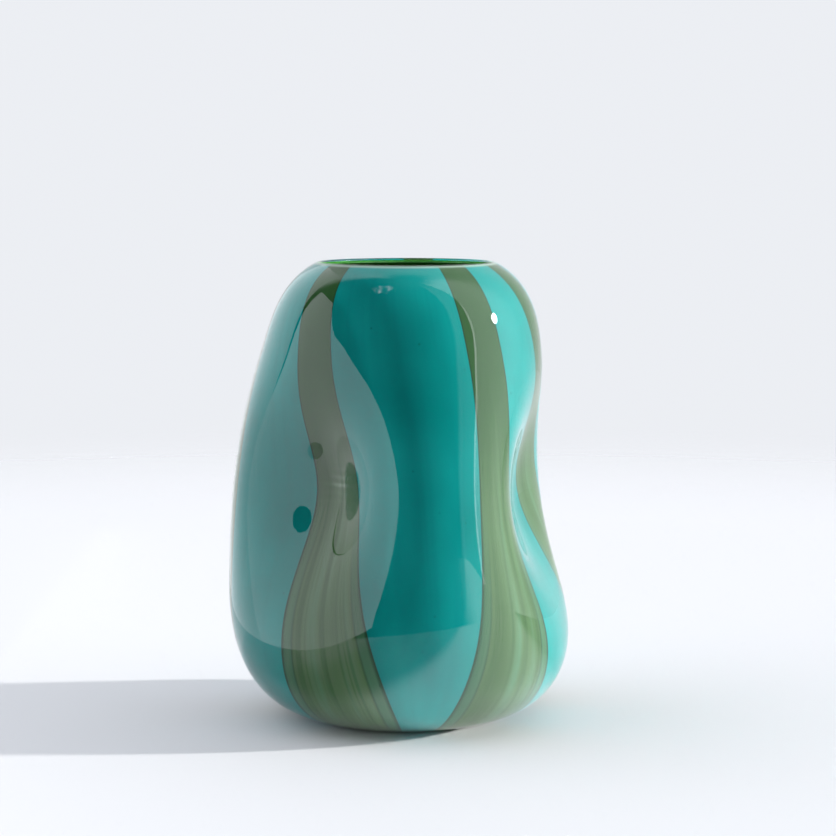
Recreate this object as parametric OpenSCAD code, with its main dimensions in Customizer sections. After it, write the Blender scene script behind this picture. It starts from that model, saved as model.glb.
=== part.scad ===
// Hand blown cased glass vase: a green inner bubble, ten coloured bars picked up round it, and a
// clear outer casing. Three deep pinches at the waist push the whole wall inwards.
// Millimetres, +Z up, origin at the middle of the foot. The front of the vase faces -Y, and an
// azimuth is counted from there towards +X.

/* [Outline] */
// Overall height
height = 250; // [220:5:280]
// Radius of the flat ground foot
foot_r = 41; // [34:1:48]
// Largest radius, before the pinches
belly_r = 98; // [88:1:104]
// Height of the largest radius
belly_z = 74; // [64:1:84]
// Radius at the shoulder
shoulder_r = 80; // [74:1:84]
// Height of the shoulder
shoulder_z = 201; // [190:1:206]
// Outside radius of the mouth
mouth_r = 49; // [42:1:54]

/* [Glass] */
// Thickness of the green inner bubble in the wall
lining_wall = 1.2; // [1:0.1:2]
// Thickness of the coloured bars in the wall
bar_wall = 1; // [0.8:0.1:1.6]
// Thickness of the clear casing in the wall
casing_wall = 2.2; // [1.6:0.1:3]
// Wall thickness at the lip, as a share of the wall's
lip_share = 0.6; // [0.5:0.05:1]
// Clear glass under the foot
casing_foot = 6; // [4:0.5:8]

/* [Pinches] */
// Depth of the front left and back left pinches
left_depth = 34; // [26:1:38]
// Depth of the right pinch
right_depth = 37.5; // [28:0.5:40]
// Height of the left pinches
left_z = 130; // [120:1:140]
// Height of the right pinch
right_z = 124; // [115:1:135]

/* [Bars] */
// Width of a green bar at mid height, in degrees
green_mid = 22.5; // [16:0.5:26]
// How fast a green bar narrows towards the lip, in degrees over the full height
green_taper = 28.5; // [20:0.5:32]
// Extra spread of a green bar towards both ends, in degrees
green_flare = 41; // [30:1:44]

/* [Hidden] */
// Outline handles: how far each curve runs on before it bends
foot_pull = 23.5;
belly_pull_down = 61.5;
belly_pull_up = 47.5;
shoulder_lean = -0.33;
shoulder_pull_down = 50.5;
shoulder_pull_up = 19.5;
mouth_pull_out = 20;
mouth_pull_down = 10.5;

// Each pinch: azimuth, height, depth, spread to the left, to the right, up and down, and how
// round its middle is, from 1, a cone, to 2, a bell
PINCHES = [
    [-38, left_z, left_depth, 28.3, 26, 33, 1.85],
    [78, right_z, right_depth, 39.5, 39.5, 41, 2],
    [-158, left_z, left_depth, 28.3, 26, 33, 1.85],
];
// How much of a pinch's middle is rounded off, as a square of its spread
pinch_round = 0.015;
// A pinch pushes only the side of the vase that faces it, and fades out over this depth
pinch_fade = 8;

// Each green bar: azimuth at mid height, drift over the full height, bow
GREEN_BARS = [
    [-33.5, -20.5, -7.5],
    [39.5, -9.5, -21],
    [97, -58, 5],
    [182, -20, 0],
    [269, 10, -30],
];
bar_pairs = len(GREEN_BARS);

// The mesh: columns in each bar, rows in each stretch of the outline, rows round the lip
green_cols = 5;
turquoise_cols = 7;
pair_cols = green_cols + turquoise_cols;
cols = bar_pairs * pair_cols;
floor_rows = 2;
foot_rows = 8;
wall_rows = 9;
shoulder_rows = 7;
rows = floor_rows + foot_rows + wall_rows + shoulder_rows;
lip_rows = 3;

// Thickness of the lining and the bars in the foot
lining_foot = 1.8;
bar_foot = 1.2;

function ease(s) = s * s * (3 - 2 * s);
function mix(a, b, s) = a + (b - a) * s;

// A cubic curve and its direction, from two ends and their handles
function curve_at(p, s) =
    pow(1 - s, 3) * p[0] + 3 * pow(1 - s, 2) * s * p[1] + 3 * (1 - s) * s * s * p[2] + pow(s, 3) * p[3];
function curve_way(p, s) =
    pow(1 - s, 2) * (p[1] - p[0]) + 2 * (1 - s) * s * (p[2] - p[1]) + s * s * (p[3] - p[2]);

// The outline as [radius, height]: foot to belly, belly to shoulder, shoulder to mouth
foot_curve = [
    [foot_r, 0],
    [foot_r + foot_pull, 0],
    [belly_r, belly_z - belly_pull_down],
    [belly_r, belly_z],
];
wall_curve = [
    [belly_r, belly_z],
    [belly_r, belly_z + belly_pull_up],
    [shoulder_r - shoulder_lean * shoulder_pull_down, shoulder_z - shoulder_pull_down],
    [shoulder_r, shoulder_z],
];
shoulder_curve = [
    [shoulder_r, shoulder_z],
    [shoulder_r + shoulder_lean * shoulder_pull_up, shoulder_z + shoulder_pull_up],
    [mouth_r + mouth_pull_out, height - mouth_pull_down],
    [mouth_r, height],
];

// Row i of the outline, as its curve and its place along it; the floor is straight
function row_curve(i) =
    i <= floor_rows + foot_rows ? foot_curve
    : i <= floor_rows + foot_rows + wall_rows ? wall_curve
    : shoulder_curve;
function row_share(i) =
    i <= floor_rows + foot_rows ? (i - floor_rows) / foot_rows
    : i <= floor_rows + foot_rows + wall_rows ? (i - floor_rows - foot_rows) / wall_rows
    : (i - floor_rows - foot_rows - wall_rows) / shoulder_rows;
function outline(i) =
    i < floor_rows ? [foot_r * i / floor_rows, 0] : curve_at(row_curve(i), row_share(i));
function unit(v) = v / norm(v);
function outline_way(i) = i < floor_rows ? [1, 0] : unit(curve_way(row_curve(i), row_share(i)));

// Thickness at row i, from its values in the foot and in the wall; it thins towards the lip
function thickness(i, foot, wall) =
    i <= floor_rows ? foot
    : i <= floor_rows + foot_rows ? mix(foot, wall, ease(row_share(i)))
    : i <= floor_rows + foot_rows + wall_rows ? wall
    : mix(wall, wall * lip_share, ease(row_share(i)));
function casing_depth(i) = thickness(i, casing_foot, casing_wall);
function bar_depth(i) = casing_depth(i) + thickness(i, bar_foot, bar_wall);
function lining_depth(i) = bar_depth(i) + thickness(i, lining_foot, lining_wall);

// A point of the outline moved into the glass, square to the wall
function sunk(i, depth) =
    let (way = outline_way(i))
    outline(i) + depth * [-way[1], way[0]];

// The lip is a half round between the outside and the inside of the wall
function lip_point(k) =
    let (
        outside = outline(rows),
        inside = sunk(rows, lining_depth(rows)),
        turn = 180 * k / (lip_rows + 1),
        half = (outside - inside) / 2
    )
    (outside + inside) / 2 + cos(turn) * half + sin(turn) * norm(half) * outline_way(rows);

// Where column j runs at height z: the bars share out the turn, green and turquoise in turn
function rise(z) = min(max(z / height, 0), 1) - 0.5;
function green_width(v) = green_mid - green_taper * v + green_flare * v * v;
function green_line(k, v) =
    let (bar = GREEN_BARS[k % bar_pairs])
    bar[0] + bar[1] * v + bar[2] * v * v + 360 * floor(k / bar_pairs);
function column_azimuth(j, z) =
    let (
        v = rise(z),
        k = floor(j / pair_cols),
        c = j % pair_cols,
        start = green_line(k, v) - green_width(v) / 2,
        end = green_line(k, v) + green_width(v) / 2,
        next = green_line(k + 1, v) - green_width(v) / 2
    )
    c < green_cols ? mix(start, end, c / green_cols)
    : mix(end, next, (c - green_cols) / turquoise_cols);

// How far a pinch moves a point, and all of them together; they act level, so heights stay
function pinch_push(p, pinch) =
    let (
        inward = [-sin(pinch[0]), cos(pinch[0])],
        across = p[0] * inward[1] - p[1] * inward[0],
        facing = -(p[0] * inward[0] + p[1] * inward[1]),
        sideways = across / (across < 0 ? pinch[3] : pinch[4]),
        upwards = (p[2] - pinch[1]) / pinch[5],
        far = pow(sideways, 2) + pow(upwards, 2) + pinch_round,
        fall = exp(-0.5 * pow(far, pinch[6] / 2)),
        side = 1 / (1 + exp(-facing / pinch_fade))
    )
    pinch[2] * fall * side * [inward[0], inward[1], 0];
function pinched(p) =
    p + pinch_push(p, PINCHES[0]) + pinch_push(p, PINCHES[1]) + pinch_push(p, PINCHES[2]);

// One ring of the wall: the outline point q swept round by the columns a to b
function ring(q, z_guide, a, b) = [
    for (j = [a:b])
        let (turn = column_azimuth(j, z_guide))
        pinched([q[0] * sin(turn), -q[0] * cos(turn), q[1]])
];
function guide(i) = outline(i)[1];

// Rings of one face of a layer, from the axis outwards and up
function face_rings(depths, a, b) = [
    for (i = [1:rows]) ring(sunk(i, depths[i]), guide(i), a, b)
];
function lip_rings(a, b) = [for (k = [1:lip_rows]) ring(lip_point(k), guide(rows), a, b)];
function backwards(list) = [for (i = [len(list) - 1:-1:0]) list[i]];
function joined(lists) = [for (list = lists) for (item = list) item];

SURFACE = [for (i = [0:rows]) 0];
CASING = [for (i = [0:rows]) casing_depth(i)];
BARS = [for (i = [0:rows]) bar_depth(i)];
LINING = [for (i = [0:rows]) lining_depth(i)];

// A closed solid from rings that start and end on the axis. A full turn closes on itself, and a
// part of a turn gets two side walls, which the next bar shares.
module glass_layer(rings, low, high, full) {
    width = len(rings[0]);
    count = len(rings);
    low_tip = count * width;
    high_tip = low_tip + 1;
    last = full ? width - 1 : width - 2;
    function at(i, j) = i * width + j % width;
    half = count / 2;
    skin = [
        for (i = [0:count - 2]) for (j = [0:last]) each [
            [at(i, j), at(i + 1, j + 1), at(i, j + 1)],
            [at(i, j), at(i + 1, j), at(i + 1, j + 1)],
        ]
    ];
    tips = [
        for (j = [0:last]) each [
            [low_tip, at(0, j), at(0, j + 1)],
            [high_tip, at(count - 1, j + 1), at(count - 1, j)],
        ]
    ];
    sides = full ? [] : [
        for (i = [0:half - 2]) each [
            [at(i, 0), at(count - 2 - i, 0), at(i + 1, 0)],
            [at(i, 0), at(count - 1 - i, 0), at(count - 2 - i, 0)],
            [at(i, width - 1), at(i + 1, width - 1), at(count - 2 - i, width - 1)],
            [at(i, width - 1), at(count - 2 - i, width - 1), at(count - 1 - i, width - 1)],
        ],
        [low_tip, high_tip, at(0, 0)],
        [high_tip, at(count - 1, 0), at(0, 0)],
        [low_tip, at(0, width - 1), high_tip],
        [high_tip, at(0, width - 1), at(count - 1, width - 1)],
    ];
    points = concat(joined(rings), [[0, 0, low], [0, 0, high]]);
    polyhedron(points = points, faces = concat(skin, tips, sides), convexity = 10);
}

// The green inner bubble: the whole inside of the vase
module green_lining() {
    color([0.2, 0.46, 0.16])
        glass_layer(
            concat(face_rings(BARS, 0, cols - 1), backwards(face_rings(LINING, 0, cols - 1))),
            BARS[0], LINING[0], true);
}

// One coloured bar, from the middle of the foot up to the lip
module bar(a, b) {
    glass_layer(
        concat(face_rings(CASING, a, b), backwards(face_rings(BARS, a, b))),
        CASING[0], BARS[0], false);
}
module green_bar(k) {
    color([0.34, 0.47, 0.29]) bar(k * pair_cols, k * pair_cols + green_cols);
}
module turquoise_bar(k) {
    color([0, 0.56, 0.54]) bar(k * pair_cols + green_cols, (k + 1) * pair_cols);
}

// The clear outer gather: the outside, the foot, and the round of the lip over the other layers
module clear_casing() {
    lip_floor = [for (depths = [LINING, BARS]) ring(sunk(rows, depths[rows]), guide(rows), 0, cols - 1)];
    color([0.8, 0.93, 0.93, 0.3])
        glass_layer(
            concat(
                face_rings(SURFACE, 0, cols - 1),
                lip_rings(0, cols - 1),
                lip_floor,
                backwards(face_rings(CASING, 0, cols - 1))),
            SURFACE[0], CASING[0], true);
}

green_lining();
green_bar(0);  // green_bar_1
green_bar(1);  // green_bar_2
green_bar(2);  // green_bar_3
green_bar(3);  // green_bar_4
green_bar(4);  // green_bar_5
turquoise_bar(0);  // turquoise_bar_1
turquoise_bar(1);  // turquoise_bar_2
turquoise_bar(2);  // turquoise_bar_3
turquoise_bar(3);  // turquoise_bar_4
turquoise_bar(4);  // turquoise_bar_5
clear_casing();
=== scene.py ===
# Hand blown cased glass vase: a green inner bubble, ten coloured bars and a clear outer casing,
# pinched in at the waist in three places. Metres, +Z up, the middle of the foot at the origin and
# the front facing -Y. An azimuth is counted from the front towards +X.
import math

import bpy
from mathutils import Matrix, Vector


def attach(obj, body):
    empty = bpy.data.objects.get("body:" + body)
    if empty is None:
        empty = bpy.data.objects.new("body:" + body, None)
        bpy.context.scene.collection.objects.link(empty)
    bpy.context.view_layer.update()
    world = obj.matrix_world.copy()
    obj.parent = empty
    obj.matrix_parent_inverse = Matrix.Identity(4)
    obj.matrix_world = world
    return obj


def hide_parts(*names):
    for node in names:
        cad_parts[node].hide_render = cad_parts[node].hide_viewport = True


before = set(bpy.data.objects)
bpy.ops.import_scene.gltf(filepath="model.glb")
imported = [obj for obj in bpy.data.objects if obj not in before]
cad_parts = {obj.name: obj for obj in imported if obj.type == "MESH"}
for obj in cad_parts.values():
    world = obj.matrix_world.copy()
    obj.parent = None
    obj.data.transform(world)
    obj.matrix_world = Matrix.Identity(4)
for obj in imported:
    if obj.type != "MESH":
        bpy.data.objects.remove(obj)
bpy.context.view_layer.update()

MM = 0.001

# Outline of the outside, as [radius, height] handles
HEIGHT = 250 * MM
FOOT_R = 41 * MM
BELLY_R = 98 * MM
BELLY_Z = 74 * MM
SHOULDER_R = 80 * MM
SHOULDER_Z = 201 * MM
MOUTH_R = 49 * MM
FOOT_PULL = 23.5 * MM
BELLY_PULL_DOWN = 61.5 * MM
BELLY_PULL_UP = 47.5 * MM
SHOULDER_LEAN = -0.33
SHOULDER_PULL_DOWN = 50.5 * MM
SHOULDER_PULL_UP = 19.5 * MM
MOUTH_PULL_OUT = 20 * MM
MOUTH_PULL_DOWN = 10.5 * MM

# Thickness of each layer, in the foot and in the wall; all of them thin towards the lip
CASING_FOOT = 6 * MM
CASING_WALL = 2.2 * MM
BAR_FOOT = 1.2 * MM
BAR_WALL = 1 * MM
LINING_FOOT = 1.8 * MM
LINING_WALL = 1.2 * MM
LIP_SHARE = 0.6
# How far the colour reaches into the clear glass round it, so that no two faces lie on each other
PROUD = 0.06 * MM
# Rough lengths of the outline's four stretches: floor, foot, wall and shoulder
STRETCH_LENGTHS = (FOOT_R, 100 * MM, 130 * MM, 62 * MM)

# Air bubbles in the clear glass: how far apart, their radius, and the smallest and largest share
# of it
SEED_SPACING = 60 * MM
SEED_RADIUS = 0.4 * MM
SEED_SHARES = (0.6, 1.3)
# How deep they lie, as a share of the casing
SEED_DEPTH = 0.45

# Pinches: azimuth, height, depth, spread to the left, to the right, up and down, and how round
# the middle is, from 1, a cone, to 2, a bell
PINCHES = [
    (-38, 130 * MM, 34 * MM, 28.3 * MM, 26 * MM, 33 * MM, 1.85),
    (78, 124 * MM, 37.5 * MM, 39.5 * MM, 39.5 * MM, 41 * MM, 2),
    (-158, 130 * MM, 34 * MM, 28.3 * MM, 26 * MM, 33 * MM, 1.85),
]
PINCH_FADE = 8 * MM
# How much of a pinch's middle is rounded off, as a square of its spread
PINCH_ROUND = 0.015

# Green bars: azimuth at mid height, drift over the full height, bow
GREEN_BARS = [
    (-33.5, -20.5, -7.5),
    (39.5, -9.5, -21),
    (97, -58, 5),
    (182, -20, 0),
    (269, 10, -30),
]
# Width of a green bar at mid height, how fast it narrows upwards, and its flare at both ends
GREEN_WIDTH = (22.5, -28.5, 41)

# Rows of faces in the floor, the foot, the wall and the shoulder, on the side that is seen and on
# the side that is hidden, and rows round the lip
SEEN_ROWS = (3, 34, 64, 34)
HIDDEN_ROWS = (2, 14, 26, 14)
LIP_ROWS = 12
LIP_FLOOR_ROWS = 2
LINING_CAP_ROWS = 2
TURN_COLUMNS = 264
GREEN_COLUMNS = 24
TURQUOISE_COLUMNS = 34
WELD = 0.01 * MM
# Edges bent by more degrees than this stay sharp
SHARP_EDGE = 35


class Wire:
    """A node's output, so that sums on it are written as sums."""

    def __init__(self, board, socket):
        self.board = board
        self.socket = socket

    def __add__(self, other):
        return self.board.maths("ADD", self, other)

    def __radd__(self, other):
        return self.board.maths("ADD", other, self)

    def __sub__(self, other):
        return self.board.maths("SUBTRACT", self, other)

    def __rsub__(self, other):
        return self.board.maths("SUBTRACT", other, self)

    def __mul__(self, other):
        if is_vector(self) != is_vector(other):
            vector, number = (self, other) if is_vector(self) else (other, self)
            return self.board.node(
                "ShaderNodeVectorMath", {"operation": "SCALE"}, {0: vector, "Scale": number})
        return self.board.maths("MULTIPLY", self, other)

    __rmul__ = __mul__

    def __truediv__(self, other):
        return self.board.maths("DIVIDE", self, other)

    def __rtruediv__(self, other):
        return self.board.maths("DIVIDE", other, self)


def is_vector(value):
    if isinstance(value, Wire):
        return value.socket.type == "VECTOR"
    return isinstance(value, tuple)


class Board:
    """A tree of nodes being laid out, for a shape, a material or the world."""

    def __init__(self, tree):
        self.tree = tree
        tree.nodes.clear()

    def node(self, kind, settings=None, sockets=None, output=0):
        """Adds a node, its settings before its sockets, and returns one of its outputs."""
        made = self.tree.nodes.new(kind)
        for name, value in (settings or {}).items():
            setattr(made, name, value)
        for name, value in (sockets or {}).items():
            for part in value if isinstance(value, list) else [value]:
                if isinstance(part, Wire):
                    self.tree.links.new(part.socket, made.inputs[name])
                else:
                    made.inputs[name].default_value = part
        return Wire(self, made.outputs[output]) if made.outputs else made

    def more(self, wire, output):
        """Another output of the node that a wire comes from."""
        return Wire(self, wire.socket.node.outputs[output])

    def maths(self, operation, *values):
        vector = any(is_vector(value) for value in values)
        kind = "ShaderNodeVectorMath" if vector else "ShaderNodeMath"
        return self.node(kind, {"operation": operation}, dict(enumerate(values)))

    def dot(self, first, second):
        sockets = {0: first, 1: second}
        return self.node("ShaderNodeVectorMath", {"operation": "DOT_PRODUCT"}, sockets, "Value")

    def clamp(self, value):
        return self.node("ShaderNodeClamp", {}, {"Value": value})

    def blend(self, share, first, second):
        """A number, or a vector, part of the way from the first to the second."""
        return first + (second - first) * share

    def tint(self, share, first, second):
        """A colour part of the way from the first to the second."""
        settings = {"data_type": "RGBA"}
        sockets = {0: share, 6: color_of(first), 7: color_of(second)}
        return self.node("ShaderNodeMix", settings, sockets, 2)

    def step(self, value, low, high):
        """Rises smoothly from 0 at low to 1 at high."""
        settings = {"interpolation_type": "SMOOTHSTEP"}
        sockets = {"Value": value, "From Min": low, "From Max": high}
        return self.node("ShaderNodeMapRange", settings, sockets)

    def split(self, vector):
        first = self.node("ShaderNodeSeparateXYZ", {}, {0: vector})
        return first, self.more(first, 1), self.more(first, 2)

    def join(self, x, y, z):
        return self.node("ShaderNodeCombineXYZ", {}, {0: x, 1: y, 2: z})

    def noise(self, vector, scale, detail):
        sockets = {"Vector": vector, "Scale": scale, "Detail": detail}
        return self.node("ShaderNodeTexNoise", {}, sockets)


def color_of(value):
    return value if isinstance(value, Wire) else (*value, 1)


# ---- The shape of the wall -------------------------------------------------------------------


def point(radius, height):
    """A point of the outline, as a vector with no y."""
    return Vector((radius, 0, height))


def outline_curves():
    """Foot to belly, belly to shoulder and shoulder to mouth: each a start, two handles, an end."""
    belly = point(BELLY_R, BELLY_Z)
    shoulder = point(SHOULDER_R, SHOULDER_Z)
    mouth = point(MOUTH_R, HEIGHT)
    lean = point(SHOULDER_LEAN, 1)
    return [
        [point(FOOT_R, 0), point(FOOT_R + FOOT_PULL, 0), belly - point(0, BELLY_PULL_DOWN), belly],
        [belly, belly + point(0, BELLY_PULL_UP), shoulder - SHOULDER_PULL_DOWN * lean, shoulder],
        [shoulder, shoulder + SHOULDER_PULL_UP * lean,
         mouth + point(MOUTH_PULL_OUT, -MOUTH_PULL_DOWN), mouth],
    ]


def outline(board, shares):
    """The outline's point and its direction, from the share of each stretch that is passed."""
    place = shares[0] * tuple(point(FOOT_R, 0))
    way = board.join(1, 0, 0)
    for share, (start, pull, push, end) in zip(shares[1:], outline_curves()):
        first = 3 * (pull - start)
        second = 3 * (push - 2 * pull + start)
        third = end - 3 * push + 3 * pull - start
        place = place + share * (tuple(first) + share * (tuple(second) + share * tuple(third)))
        slope = tuple(first) + share * (tuple(2 * second) + share * tuple(3 * third))
        way = way + (board.maths("NORMALIZE", slope) - tuple(first.normalized()))
    return place, way


def ease(share):
    return share * share * (3 - 2 * share)


def thickness(shares, foot, wall):
    """A layer's thickness, which eases from the foot to the wall and thins towards the lip."""
    return foot + (wall - foot) * ease(shares[1]) - (wall * (1 - LIP_SHARE)) * ease(shares[3])


def lip_thickness(*walls):
    return sum(walls) * LIP_SHARE


def stretch_shares(board, row, up, cap=0, down=()):
    """How much of the floor, foot, wall and shoulder lies below a row. The rows run up one face,
    over a cap, and down the other face."""
    shares = []
    start = 0
    for count in up:
        shares.append(board.clamp((row - start) / count))
        start += count
    start += cap
    for index in reversed(range(len(down))):
        shares[index] = shares[index] - board.clamp((row - start) / down[index])
        start += down[index]
    return shares


def push_in(board, place, azimuth, height, depth, left, right, up, roundness):
    """How far a pinch moves a place: inwards and level, and only on the side that faces it."""
    turn = math.radians(azimuth)
    inward = (-math.sin(turn), math.cos(turn), 0)
    across = board.dot(place, (inward[1], -inward[0], 0))
    sideways = board.maths("MAXIMUM", across / right, across / -left)
    upwards = (board.split(place)[2] - height) / up
    spread = sideways * sideways + upwards * upwards + PINCH_ROUND
    fall = board.maths("EXPONENT", board.maths("POWER", spread, roundness / 2) * -0.5)
    facing = board.dot(place, inward) / PINCH_FADE
    side = 1 / (1 + board.maths("EXPONENT", facing))
    return (fall * side * depth) * inward


def wall_place(board, shares, depth, over, turn):
    """A place in the wall: so deep under the outline, so far along it, and pinched."""
    place, way = outline(board, shares)
    sockets = {0: way, 1: (0, 1, 0)}
    inwards = board.node("ShaderNodeVectorMath", {"operation": "CROSS_PRODUCT"}, sockets)
    radius, _, height = board.split(place + inwards * depth + way * over)
    swept = board.join(
        radius * board.maths("SINE", turn), radius * board.maths("COSINE", turn) * -1, height)
    pinched = swept
    for pinch in PINCHES:
        pinched = pinched + push_in(board, swept, *pinch)
    return pinched


def shape_tree(name, inputs):
    """An empty tree of Geometry Nodes with named inputs, and its board and its input wires."""
    tree = bpy.data.node_groups.new(name, "GeometryNodeTree")
    for label, kind in inputs.items():
        tree.interface.new_socket(label, in_out="INPUT", socket_type="NodeSocket" + kind)
    tree.interface.new_socket("Geometry", in_out="OUTPUT", socket_type="NodeSocketGeometry")
    board = Board(tree)
    first = board.node("NodeGroupInput")
    return board, {label: board.more(first, label) for label in inputs}


def close_tree(board, shape, material):
    """Rounds the shading except over sharp edges, gives the material and ends the tree."""
    angle = board.node("GeometryNodeInputMeshEdgeAngle")
    sockets = {0: shape, "Shade Smooth": True}
    shape = board.node("GeometryNodeSetShadeSmooth", {"domain": "FACE"}, sockets)
    sharp = board.maths("GREATER_THAN", angle, math.radians(SHARP_EDGE))
    sockets = {0: shape, "Selection": sharp, "Shade Smooth": False}
    shape = board.node("GeometryNodeSetShadeSmooth", {"domain": "EDGE"}, sockets)
    shape = board.node("GeometryNodeRealizeInstances", {}, {0: shape})
    shape = board.node("GeometryNodeSetMaterial", {}, {0: shape, "Material": material})
    board.node("NodeGroupOutput", {}, {0: shape})


def store(board, shape, name, value):
    settings = {"data_type": "FLOAT_VECTOR", "domain": "POINT"}
    return board.node(
        "GeometryNodeStoreNamedAttribute", settings, {0: shape, "Name": name, "Value": value})


def moved(board, shape, place):
    shape = board.node("GeometryNodeSetPosition", {}, {0: shape, "Position": place})
    return board.node("GeometryNodeMergeByDistance", {}, {0: shape, "Distance": WELD})


def along(shares):
    """Roughly how far up the outline a row is, in metres."""
    return sum(share * length for share, length in zip(shares, STRETCH_LENGTHS))


def bar_tree():
    """A coloured bar: a closed wedge from the middle of the foot up to the lip."""
    inputs = {
        "Columns": "Int",
        "Left edge": "Vector",
        "Right edge": "Vector",
        "Bar number": "Float",
        "Material": "Material",
    }
    board, given = shape_tree("coloured_bar", inputs)
    rows = sum(SEEN_ROWS)
    sockets = {
        "Size": (rows, 1, 1),
        "Vertices X": rows + 1,
        "Vertices Y": given["Columns"] + 1,
        "Vertices Z": 2,
    }
    block = board.node("GeometryNodeMeshCube", {}, sockets)
    x, y, z = board.split(board.node("GeometryNodeInputPosition"))
    across = y + 0.5
    shares = stretch_shares(board, x + rows / 2, SEEN_ROWS)
    casing = thickness(shares, CASING_FOOT, CASING_WALL)
    bar = thickness(shares, BAR_FOOT, BAR_WALL) + PROUD
    depth = casing - PROUD + bar * (z + 0.5)
    level = board.clamp(board.split(outline(board, shares)[0])[2] / HEIGHT) - 0.5
    powers = board.join(1, level, level * level)
    left = board.dot(given["Left edge"], powers)
    right = board.dot(given["Right edge"], powers)
    turn = board.blend(across, left, right) * math.radians(1)
    block = store(board, block, "lay", board.join(across, along(shares), given["Bar number"]))
    block = moved(board, block, wall_place(board, shares, depth, shares[3] * PROUD, turn))
    close_tree(board, block, given["Material"])
    return board.tree


def turned_sheet(board, rows, columns):
    """A sheet with a row and a turn at each of its points, to be closed round the axis."""
    sockets = {
        "Size X": rows,
        "Size Y": 2 * math.pi,
        "Vertices X": rows + 1,
        "Vertices Y": columns + 1,
    }
    sheet = board.node("GeometryNodeMeshGrid", {}, sockets)
    x, y, _ = board.split(board.node("GeometryNodeInputPosition"))
    sheet = board.node("GeometryNodeFlipFaces", {}, {0: sheet})
    return sheet, x + rows / 2, y


def lining_tree():
    """The green inner bubble: up its hidden face, over its end in the lip, down its seen face."""
    board, given = shape_tree("inner_bubble", {"Columns": "Int", "Material": "Material"})
    rows = sum(HIDDEN_ROWS) + LINING_CAP_ROWS + sum(SEEN_ROWS)
    sheet, row, turn = turned_sheet(board, rows, given["Columns"])
    shares = stretch_shares(board, row, HIDDEN_ROWS, LINING_CAP_ROWS, SEEN_ROWS)
    through = board.clamp((row - sum(HIDDEN_ROWS)) / LINING_CAP_ROWS)
    outer = thickness(shares, CASING_FOOT + BAR_FOOT, CASING_WALL + BAR_WALL)
    lining = thickness(shares, LINING_FOOT, LINING_WALL)
    depth = outer + lining * through
    sheet = moved(board, sheet, wall_place(board, shares, depth, shares[3] * PROUD, turn))
    close_tree(board, sheet, given["Material"])
    return board.tree


def seeds(board, skin, spacing, size, seed):
    """Small air bubbles, left in the clear glass about half way through the casing."""
    sockets = {"Mesh": skin, "Density": 1 / (spacing * spacing), "Seed": seed}
    dots = board.node("GeometryNodeDistributePointsOnFaces", {}, sockets)
    inwards = board.more(dots, "Normal") * (CASING_WALL * -SEED_DEPTH)
    dots = board.node("GeometryNodeSetPosition", {}, {0: dots, "Offset": inwards})
    ball = board.node("GeometryNodeMeshIcoSphere", {}, {"Radius": size, "Subdivisions": 2})
    ball = board.node("GeometryNodeFlipFaces", {}, {0: ball})
    least, most = SEED_SHARES
    sockets = {2: least, 3: most, "Seed": seed}
    scale = board.node("FunctionNodeRandomValue", {"data_type": "FLOAT"}, sockets, 1)
    sockets = {"Points": dots, "Instance": ball, "Scale": scale}
    return board.node("GeometryNodeInstanceOnPoints", {}, sockets)


def casing_tree():
    """The clear casing: up the outside, round the lip, over the other layers, down inside."""
    inputs = {
        "Columns": "Int",
        "Seed spacing": "Float",
        "Seed size": "Float",
        "Random seed": "Int",
        "Material": "Material",
    }
    board, given = shape_tree("clear_casing", inputs)
    top = sum(SEEN_ROWS)
    rows = top + LIP_ROWS + LIP_FLOOR_ROWS + sum(HIDDEN_ROWS)
    sheet, row, turn = turned_sheet(board, rows, given["Columns"])
    shares = stretch_shares(board, row, SEEN_ROWS, LIP_ROWS + LIP_FLOOR_ROWS, HIDDEN_ROWS)
    lip = lip_thickness(CASING_WALL, BAR_WALL, LINING_WALL)
    bend = board.clamp((row - top) / LIP_ROWS) * math.pi
    back = board.clamp((row - top - LIP_ROWS) / LIP_FLOOR_ROWS)
    outer = (1 - board.maths("COSINE", bend)) * (lip / 2) - back * (lip - lip_thickness(CASING_WALL))
    inner = thickness(shares, CASING_FOOT, CASING_WALL)
    hidden = board.maths("GREATER_THAN", row, top + LIP_ROWS + LIP_FLOOR_ROWS - 0.5)
    depth = board.blend(hidden, outer, inner)
    over = board.maths("SINE", bend) * (lip / 2)
    sheet = moved(board, sheet, wall_place(board, shares, depth, over, turn))
    bubbles = seeds(board, sheet, given["Seed spacing"], given["Seed size"], given["Random seed"])
    sheet = board.node("GeometryNodeJoinGeometry", {}, {0: [sheet, bubbles]})
    close_tree(board, sheet, given["Material"])
    return board.tree


def made_piece(name, tree, values):
    """A plain mesh from a tree of Geometry Nodes, with its modifier gone."""
    piece = bpy.data.objects.new(name, bpy.data.meshes.new(name))
    bpy.context.scene.collection.objects.link(piece)
    modifier = piece.modifiers.new("shape", "NODES")
    modifier.node_group = tree
    for item in tree.interface.items_tree:
        if item.name in values:
            modifier[item.identifier] = values[item.name]
    graph = bpy.context.evaluated_depsgraph_get()
    mesh = bpy.data.meshes.new_from_object(
        piece.evaluated_get(graph), preserve_all_data_layers=True, depsgraph=graph)
    piece.modifiers.clear()
    piece.data = mesh
    mesh.name = name
    return piece


def hand_over(piece, node):
    """Puts a finished piece in the place of its plain solid."""
    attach(piece, "root")
    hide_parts(node)


# ---- Materials -------------------------------------------------------------------------------


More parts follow.
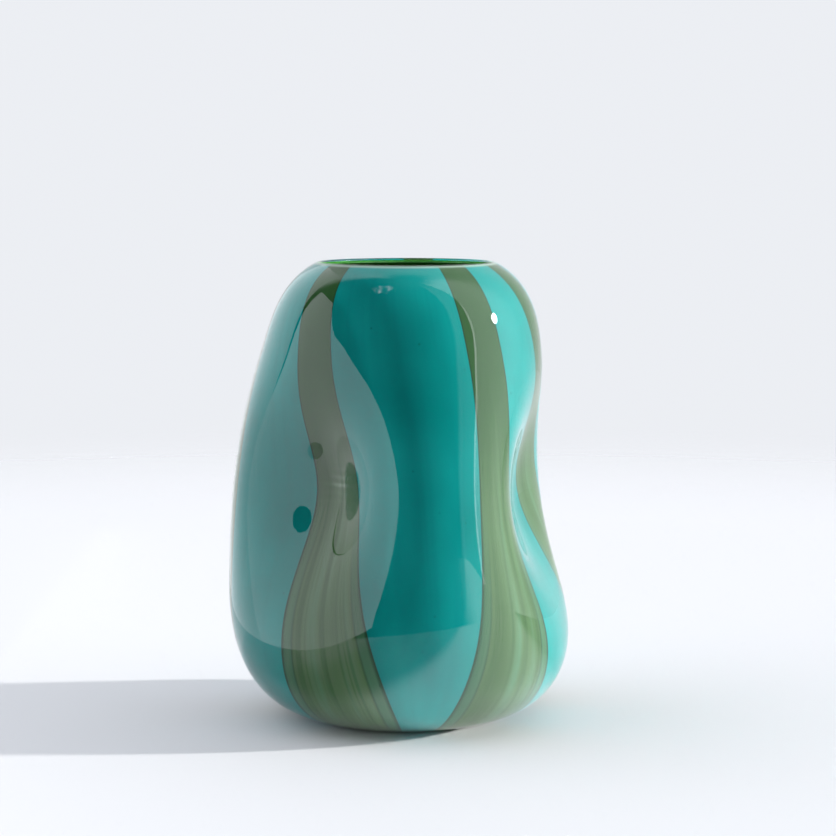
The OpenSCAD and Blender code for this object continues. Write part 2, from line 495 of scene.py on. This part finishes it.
GLASS_IOR = 1.5
CLEAR_TINT = (0.97, 1, 1)
OLIVE = (0.075, 0.165, 0.06)
OLIVE_PALE = (0.125, 0.235, 0.105)
OLIVE_STREAK = (0.045, 0.125, 0.04)
OLIVE_TOP = (0.035, 0.115, 0.035)
SEA_GREEN_STREAK = (0.1, 0.3, 0.2)
DOUBLE_EDGE = (0.05, 0.24, 0.17)
EDGE_LINE = (0.015, 0.055, 0.03)
TURQUOISE = (0.002, 0.285, 0.268)
TURQUOISE_PALE = (0.008, 0.37, 0.35)
TURQUOISE_STREAK = (0.004, 0.24, 0.235)
LINING_DARK = (0.035, 0.2, 0.03)
LINING_BRIGHT = (0.1, 0.36, 0.075)
LIP_PAINTED_HIGHLIGHT = (0.42, 0.55, 0.47)
LIP_GREEN = (0.05, 0.24, 0.035)
BAR_FOOT_PAINTED_SHADE = (0.02, 0.045, 0.025)
# Sets the streaks of one bar apart from those of the next
BAR_SHIFT = 7.3


def material_board(name):
    material = bpy.data.materials.new(name)
    material.use_nodes = True
    return material, Board(material.node_tree)


def finish_material(board, shader):
    board.node("ShaderNodeOutputMaterial", {}, {"Surface": shader})


def lay_of(board):
    """Where a place is on its bar: across, 0 to 1; up, in metres; and the bar's number."""
    lay = board.node("ShaderNodeAttribute", {"attribute_name": "lay"}, {}, "Vector")
    return board.split(lay)


def streaks(board, across, up, number, fineness, stretch):
    """Streaks drawn out along a bar."""
    place = board.join(across * fineness, up * stretch, number * BAR_SHIFT)
    return board.noise(place, 1, 3)


def cased_color(board, color):
    """Colour under clear glass: it has no gloss of its own."""
    sockets = {"Base Color": color, "Roughness": 0.8, "Specular IOR Level": 0.0}
    return board.node("ShaderNodeBsdfPrincipled", {}, sockets)


def with_ends(board, color):
    """A bar's colour with its ends: green where the inner bubble wraps it at the lip, a painted
    highlight as a pale line round the lip itself, and painted shade darkening it low on the foot."""
    x, y, z = board.split(board.node("ShaderNodeTexCoord", {}, {}, "Object"))
    faces = board.node("ShaderNodeNewGeometry", {}, {}, "True Normal")
    inwards = board.step(board.dot(faces, board.join(x, y, 0)) / MOUTH_R, 0.1, -0.1)
    at_lip = board.step(z, HEIGHT - 20 * MM, HEIGHT - 15 * MM)
    # Painted highlight: a pale line round the lip, where the fire-polished lip catches the light
    painted_lip_highlight = board.step(z, HEIGHT - 2.4 * MM, HEIGHT - 1.4 * MM) * 0.75
    # Painted shade: the bars darkened low on the foot, as in the shade where it meets the floor
    painted_foot_shade = board.step(z, 9 * MM, 4 * MM) * 0.8
    color = board.tint(painted_lip_highlight, color, LIP_PAINTED_HIGHLIGHT)
    color = board.tint(inwards * at_lip, color, LIP_GREEN)
    return board.tint(painted_foot_shade, color, BAR_FOOT_PAINTED_SHADE)


def green_glass():
    """Olive green, drawn out in streaks and darker towards the top. Its thin dark edges are double
    low down, with a bluer band between."""
    material, board = material_board("streaky_green_glass")
    across, up, number = lay_of(board)
    fine = streaks(board, across, up, number, 26, 5)
    broad = streaks(board, across, up, number + 4, 5, 6)
    color = board.tint(board.step(broad, 0.3, 0.7), OLIVE, OLIVE_PALE)
    color = board.tint(board.step(fine, 0.45, 0.7) * 0.65, color, OLIVE_STREAK)
    low_streaks = board.step(broad, 0.5, 0.75) * board.step(up, 0.24, 0.12)
    color = board.tint(low_streaks * 0.6, color, SEA_GREEN_STREAK)
    color = board.tint(board.step(up, 0.17, 0.27) * 0.85, color, OLIVE_TOP)
    edge = board.maths("MINIMUM", across, 1 - across)
    low = board.step(up, 0.22, 0.1)
    double = board.step(edge, 0.14, 0.12) * low
    color = board.tint(double * 0.35, color, DOUBLE_EDGE)
    second = board.step(board.maths("ABSOLUTE", edge - 0.13), 0.02, 0.004) * low * 0.6
    line = board.step(edge, 0.045, 0.01) + second
    color = board.tint(board.clamp(line) * 0.8, color, EDGE_LINE)
    finish_material(board, cased_color(board, with_ends(board, color)))
    return material


def turquoise_glass():
    """Dense turquoise, very slightly clouded and drawn out upwards."""
    material, board = material_board("dense_turquoise_glass")
    across, up, number = lay_of(board)
    cloud = board.noise(board.node("ShaderNodeTexCoord", {}, {}, "Object"), 14, 2)
    fine = streaks(board, across, up, number, 16, 3)
    color = board.tint(board.step(cloud, 0.3, 0.7), TURQUOISE, TURQUOISE_PALE)
    color = board.tint(board.step(fine, 0.4, 0.8) * 0.3, color, TURQUOISE_STREAK)
    finish_material(board, cased_color(board, with_ends(board, color)))
    return material


def lining_glass():
    """Bright green, streaked, with the gloss of the vase's inside."""
    material, board = material_board("green_inner_glass")
    place = board.node("ShaderNodeTexCoord", {}, {}, "Object")
    x, y, z = board.split(place)
    drawn = board.noise(board.join(x * 60, y * 60, z * 8), 1, 3)
    color = board.tint(board.step(drawn, 0.35, 0.7), LINING_DARK, LINING_BRIGHT)
    bump = board.node("ShaderNodeBump", {}, {"Strength": 0.15, "Distance": 0.4 * MM, "Height": drawn})
    sockets = {"Base Color": color, "Roughness": 0.06, "IOR": GLASS_IOR, "Normal": bump}
    finish_material(board, board.node("ShaderNodeBsdfPrincipled", {}, sockets))
    return material


def clear_glass():
    """Clear fire polished glass with the slow waves of hand work. It throws no shadow of its own."""
    material, board = material_board("clear_casing_glass")
    place = board.node("ShaderNodeTexCoord", {}, {}, "Object")
    waves = board.noise(place, 22, 1.5)
    bump = board.node("ShaderNodeBump", {}, {"Strength": 0.5, "Distance": 0.5 * MM, "Height": waves})
    sockets = {
        "Base Color": (*CLEAR_TINT, 1),
        "Roughness": 0.012,
        "IOR": GLASS_IOR,
        "Transmission Weight": 1.0,
        "Normal": bump,
    }
    glass = board.node("ShaderNodeBsdfPrincipled", {}, sockets)
    shadow = board.node("ShaderNodeLightPath", {}, {}, "Is Shadow Ray")
    clear = board.node("ShaderNodeBsdfTransparent")
    finish_material(board, board.node("ShaderNodeMixShader", {}, {0: shadow, 1: glass, 2: clear}))
    return material


# ---- The pieces ------------------------------------------------------------------------------


def edges_of_bars():
    """The azimuth of each green bar's left and right edge, as a polynomial in the level."""
    edges = []
    for bar in GREEN_BARS:
        left = tuple(line - width / 2 for line, width in zip(bar, GREEN_WIDTH))
        right = tuple(line + width / 2 for line, width in zip(bar, GREEN_WIDTH))
        edges.append((left, right))
    return edges


def make_bars():
    tree = bar_tree()
    green = green_glass()
    turquoise = turquoise_glass()
    edges = edges_of_bars()
    for index, (left, right) in enumerate(edges):
        number = index + 1
        turn = 360 if number == len(edges) else 0
        following = edges[number % len(edges)][0]
        following = (following[0] + turn, following[1], following[2])
        values = {"Columns": GREEN_COLUMNS, "Left edge": left, "Right edge": right,
                  "Bar number": float(number), "Material": green}
        bar = made_piece(f"green_bar_{number}_glass", tree, values)
        hand_over(bar, f"green_bar_{number}")
        values = {"Columns": TURQUOISE_COLUMNS, "Left edge": right, "Right edge": following,
                  "Bar number": number + 0.5, "Material": turquoise}
        bar = made_piece(f"turquoise_bar_{number}_glass", tree, values)
        hand_over(bar, f"turquoise_bar_{number}")


def make_lining():
    values = {"Columns": TURN_COLUMNS, "Material": lining_glass()}
    hand_over(made_piece("green_lining_glass", lining_tree(), values), "green_lining")


def make_casing():
    values = {
        "Columns": TURN_COLUMNS,
        "Seed spacing": SEED_SPACING,
        "Seed size": SEED_RADIUS,
        "Random seed": 7,
        "Material": clear_glass(),
    }
    hand_over(made_piece("clear_casing_glass", casing_tree(), values), "clear_casing")


# ---- The studio ------------------------------------------------------------------------------


SUN_AZIMUTH = 92
SUN_ELEVATION = 25
WHITE = (0.93, 0.95, 1.0)
BACKGROUND = (0.84, 0.86, 0.90)
SUN_STRENGTH = 3.0
SUN_COLOR = (1.0, 0.98, 0.94)
# How wide the sun is, in degrees, which softens the edge of the shadow
SUN_WIDTH = 2.5
SUN_DISC_STRENGTH = 90
# The floor has a painted shadow this far out from under the foot
FOOT_SHADE = 14 * MM
FLOOR_RADIUS = 1.6
FLOOR_PALE = (0.73, 0.74, 0.765)
FLOOR_PAINTED_SHADOW = (0.06, 0.07, 0.05)
# The floor that reflections see ends in front here, except to the right of this azimuth
FLOOR_FRONT = 0.28
FLOOR_FRONT_RIGHT = 42
FLOOR_GLARE = 1.4
# The white boards stand at this x
BOARDS_X = -0.25
FRONT_BOARD_STRENGTH = 2.0
BACK_BOARD_STRENGTH = 1.5
LAMPS_AZIMUTH = -47
LAMPS_ELEVATION = 70
CAMERA_PLACE = (0, -1.388, 0.309)
CAMERA_DOWN = 5.95
CAMERA_LENS = 109.5
CAMERA_SHIFT = 0.01425


def towards(azimuth, elevation):
    """A direction, as a vector."""
    turn = math.radians(azimuth)
    lift = math.radians(elevation)
    level = math.cos(lift)
    return Vector((math.sin(turn) * level, -math.cos(turn) * level, math.sin(lift)))


def stage_sheet(name, faces, material):
    """Flat faces that aren't part of the vase, each a list of corners."""
    mesh = bpy.data.meshes.new(name)
    corners = [corner for face in faces for corner in face]
    counts = [len(face) for face in faces]
    starts = [sum(counts[:index]) for index in range(len(counts))]
    rings = [range(start, start + count) for start, count in zip(starts, counts)]
    mesh.from_pydata(corners, [], rings)
    mesh.materials.append(material)
    sheet = bpy.data.objects.new(name, mesh)
    bpy.context.scene.collection.objects.link(sheet)
    return sheet


def make_floor():
    """A pale floor with a painted shadow under the foot, that fades into the background. Reflections
    see it end in front, dimmed on its shaded side, and with a painted glare of the low sun on its lit
    side."""
    material, board = material_board("pale_floor")
    place = board.node("ShaderNodeTexCoord", {}, {}, "Object")
    x, y, _ = board.split(place)
    distance = board.node("ShaderNodeVectorMath", {"operation": "LENGTH"}, {0: place}, "Value")
    grain = board.noise(place, 900, 2)
    bump = board.node("ShaderNodeBump", {}, {"Strength": 0.05, "Distance": 0.1 * MM, "Height": grain})
    path = board.node("ShaderNodeLightPath")
    seen = board.more(path, "Is Camera Ray")
    glossy = board.more(path, "Is Glossy Ray")
    lit_side = board.step(y + x * 0.9 + 0.13, -0.02, 0.02)
    near_side = board.step(x, -0.07, 0.01) * board.step(y, 0.05, -0.05)
    # Painted glare: the floor glows here, seen only by reflections and bounced light
    glare = lit_side * board.step(distance, 0.05, 0.1) * near_side
    # Painted shadow: the floor's colour darkened round the foot, for the contact shadow
    painted_foot_shadow = board.step(distance, FOOT_R + FOOT_SHADE, FOOT_R)
    sockets = {
        "Base Color": board.tint(painted_foot_shadow, FLOOR_PALE, FLOOR_PAINTED_SHADOW),
        "Roughness": 0.7,
        "Specular IOR Level": 0.1,
        "Emission Color": board.tint(glare * (1 - seen), (0, 0, 0), WHITE),
        "Emission Strength": FLOOR_GLARE,
        "Normal": bump,
    }
    pale = board.node("ShaderNodeBsdfPrincipled", {}, sockets)
    clear = board.node("ShaderNodeBsdfTransparent")
    faded = board.step(distance, 0.75, 1.5) * seen
    turn = board.maths("ARCTAN2", x, y * -1)
    right_ends = [math.radians(FLOOR_FRONT_RIGHT + side) for side in (8, -8)]
    in_front = board.step(turn, *right_ends)
    past_edge = board.step(y, -FLOOR_FRONT, -FLOOR_FRONT - 0.03) * in_front * glossy
    dimmed = (1 - lit_side) * board.step(x, -0.16, -0.08) * glossy * 0.5
    gone = board.maths("MAXIMUM", faded, board.maths("MAXIMUM", past_edge, dimmed))
    finish_material(board, board.node("ShaderNodeMixShader", {}, {0: gone, 1: pale, 2: clear}))
    signs = [(-1, -1), (1, -1), (1, 1), (-1, 1)]
    corners = [(side * FLOOR_RADIUS, end * FLOOR_RADIUS, 0) for side, end in signs]
    stage_sheet("pale_floor", [corners], material)


def glowing(name, strength):
    material, board = material_board(name)
    sockets = {"Color": (*WHITE, 1), "Strength": strength}
    finish_material(board, board.node("ShaderNodeEmission", {}, sockets))
    return material


def only_in_reflections(sheet):
    sheet.visible_camera = False
    sheet.visible_diffuse = False
    sheet.visible_transmission = False
    sheet.visible_shadow = False


def make_boards():
    """Two white boards close to the left of the vase, which touch low down and have a thin dark
    wedge between them higher up. They glow in place of being lit by the sun. Only the gloss of the
    glass sees them."""
    front_corners = [
        (-0.47, 0), (0, 0), (0, 0.2), (0.03, 0.42), (-0.082, 0.40), (-0.154, 0.285), (-0.47, 0.175)]
    back_corners = [(0, 0), (0.7, 0), (0.7, 0.6), (0.14, 0.6), (0.025, 0.3), (0, 0.17)]
    boards = [
        ("front_board", front_corners, FRONT_BOARD_STRENGTH),
        ("back_board", back_corners, BACK_BOARD_STRENGTH),
    ]
    for name, corners, strength in boards:
        face = [(BOARDS_X, y, z) for y, z in corners]
        only_in_reflections(stage_sheet(name, [face], glowing(f"{name}_white", strength)))


def disc(board, direction, azimuth, elevation, outside, inside):
    """Rises from 0 at one angle from a direction, in degrees, to 1 at a smaller one inside it."""
    nearness = board.dot(direction, tuple(towards(azimuth, elevation)))
    return board.step(nearness, math.cos(math.radians(outside)), math.cos(math.radians(inside)))


def make_world():
    """A dim room in front of the vase and over it, and bright walls on its right and behind, all
    for the gloss. Bounced light sees softer walls, and the camera a plain pale background."""
    world = bpy.data.worlds.new("studio")
    world.use_nodes = True
    board = Board(world.node_tree)
    direction = board.node("ShaderNodeTexCoord", {}, {}, "Generated")
    x, y, z = board.split(direction)
    turn = board.maths("ARCTAN2", x, y * -1)
    lift = board.maths("ARCSINE", z)

    def past(angle, low, high):
        return board.step(angle, math.radians(low), math.radians(high))

    dim = past(turn, -128, -112) * past(turn, 50, 43) * past(lift, 89, 82)
    half = past(turn, 43, 50) * past(turn, 66, 64)
    right = past(turn, 64, 66) * past(turn, 125, 95)
    edge_light = past(turn, 63, 64) * past(turn, 66, 65) * past(lift, 50, 40)
    aside = board.clamp(past(turn, 140, 110) * past(turn, -155, -130))
    overhead = past(lift, 70, 84)
    lamps = disc(board, direction, LAMPS_AZIMUTH, LAMPS_ELEVATION, 9, 4)
    glints = board.step(board.noise(direction, 38, 1), 0.6, 0.68) * lamps
    sun_disc = disc(board, direction, SUN_AZIMUTH, SUN_ELEVATION, 3.2, 2.2)
    # How bright each zone is to the gloss, the later ones over the earlier ones
    zones = [
        (aside, 1.3),
        (dim, 0.02),
        (half, 0.55),
        (right, 2.4),
        (edge_light, 5),
        (overhead, 0.12),
        (glints, 9),
        (sun_disc, SUN_DISC_STRENGTH),
    ]
    walls = 0.9
    for zone, strength in zones:
        walls = board.blend(zone, walls, strength)
    # How bright the room is to bounced light
    soft_left = past(turn, -160, -120) * past(turn, -35, -60)
    soft_dim = board.clamp(dim * (1 - soft_left) * past(lift, 70, 35))
    soft = board.blend(soft_dim, 0.95, 0.06)
    soft = board.blend(soft_left * past(lift, 80, 50), soft, 1.7)
    path = board.node("ShaderNodeLightPath")
    bounced = board.maths("GREATER_THAN", board.more(path, "Diffuse Depth"), 0.5)
    glossy = board.more(path, "Is Glossy Ray")
    lit = board.maths("MAXIMUM", bounced, glossy)
    strength = board.blend(lit, 1.0, board.blend(bounced, walls, soft))
    color = board.tint(lit, BACKGROUND, WHITE)
    shader = board.node("ShaderNodeBackground", {}, {"Color": color, "Strength": strength})
    board.node("ShaderNodeOutputWorld", {}, {"Surface": shader})
    bpy.context.scene.world = world


def make_sun():
    """Low sun from the right. The gloss sees the world's bright disc in its place."""
    lamp = bpy.data.lights.new("sun", "SUN")
    lamp.energy = SUN_STRENGTH
    lamp.angle = math.radians(SUN_WIDTH)
    lamp.color = SUN_COLOR
    sun = bpy.data.objects.new("sun", lamp)
    bpy.context.scene.collection.objects.link(sun)
    sun.visible_glossy = False
    sun.rotation_euler = towards(SUN_AZIMUTH, SUN_ELEVATION).to_track_quat("Z", "Y").to_euler()


def make_camera():
    """A long lens a little above the vase, which stands just left of the middle."""
    lens = bpy.data.cameras.new("camera")
    lens.sensor_width = 36
    lens.lens = CAMERA_LENS
    lens.shift_x = CAMERA_SHIFT
    camera = bpy.data.objects.new("camera", lens)
    camera.location = CAMERA_PLACE
    camera.rotation_euler = (math.radians(90 - CAMERA_DOWN), 0, 0)
    bpy.context.scene.collection.objects.link(camera)
    bpy.context.scene.camera = camera


make_camera()
make_bars()
make_lining()
make_casing()
make_floor()
make_boards()
make_world()
make_sun()
bpy.context.scene.view_settings.view_transform = "Standard"
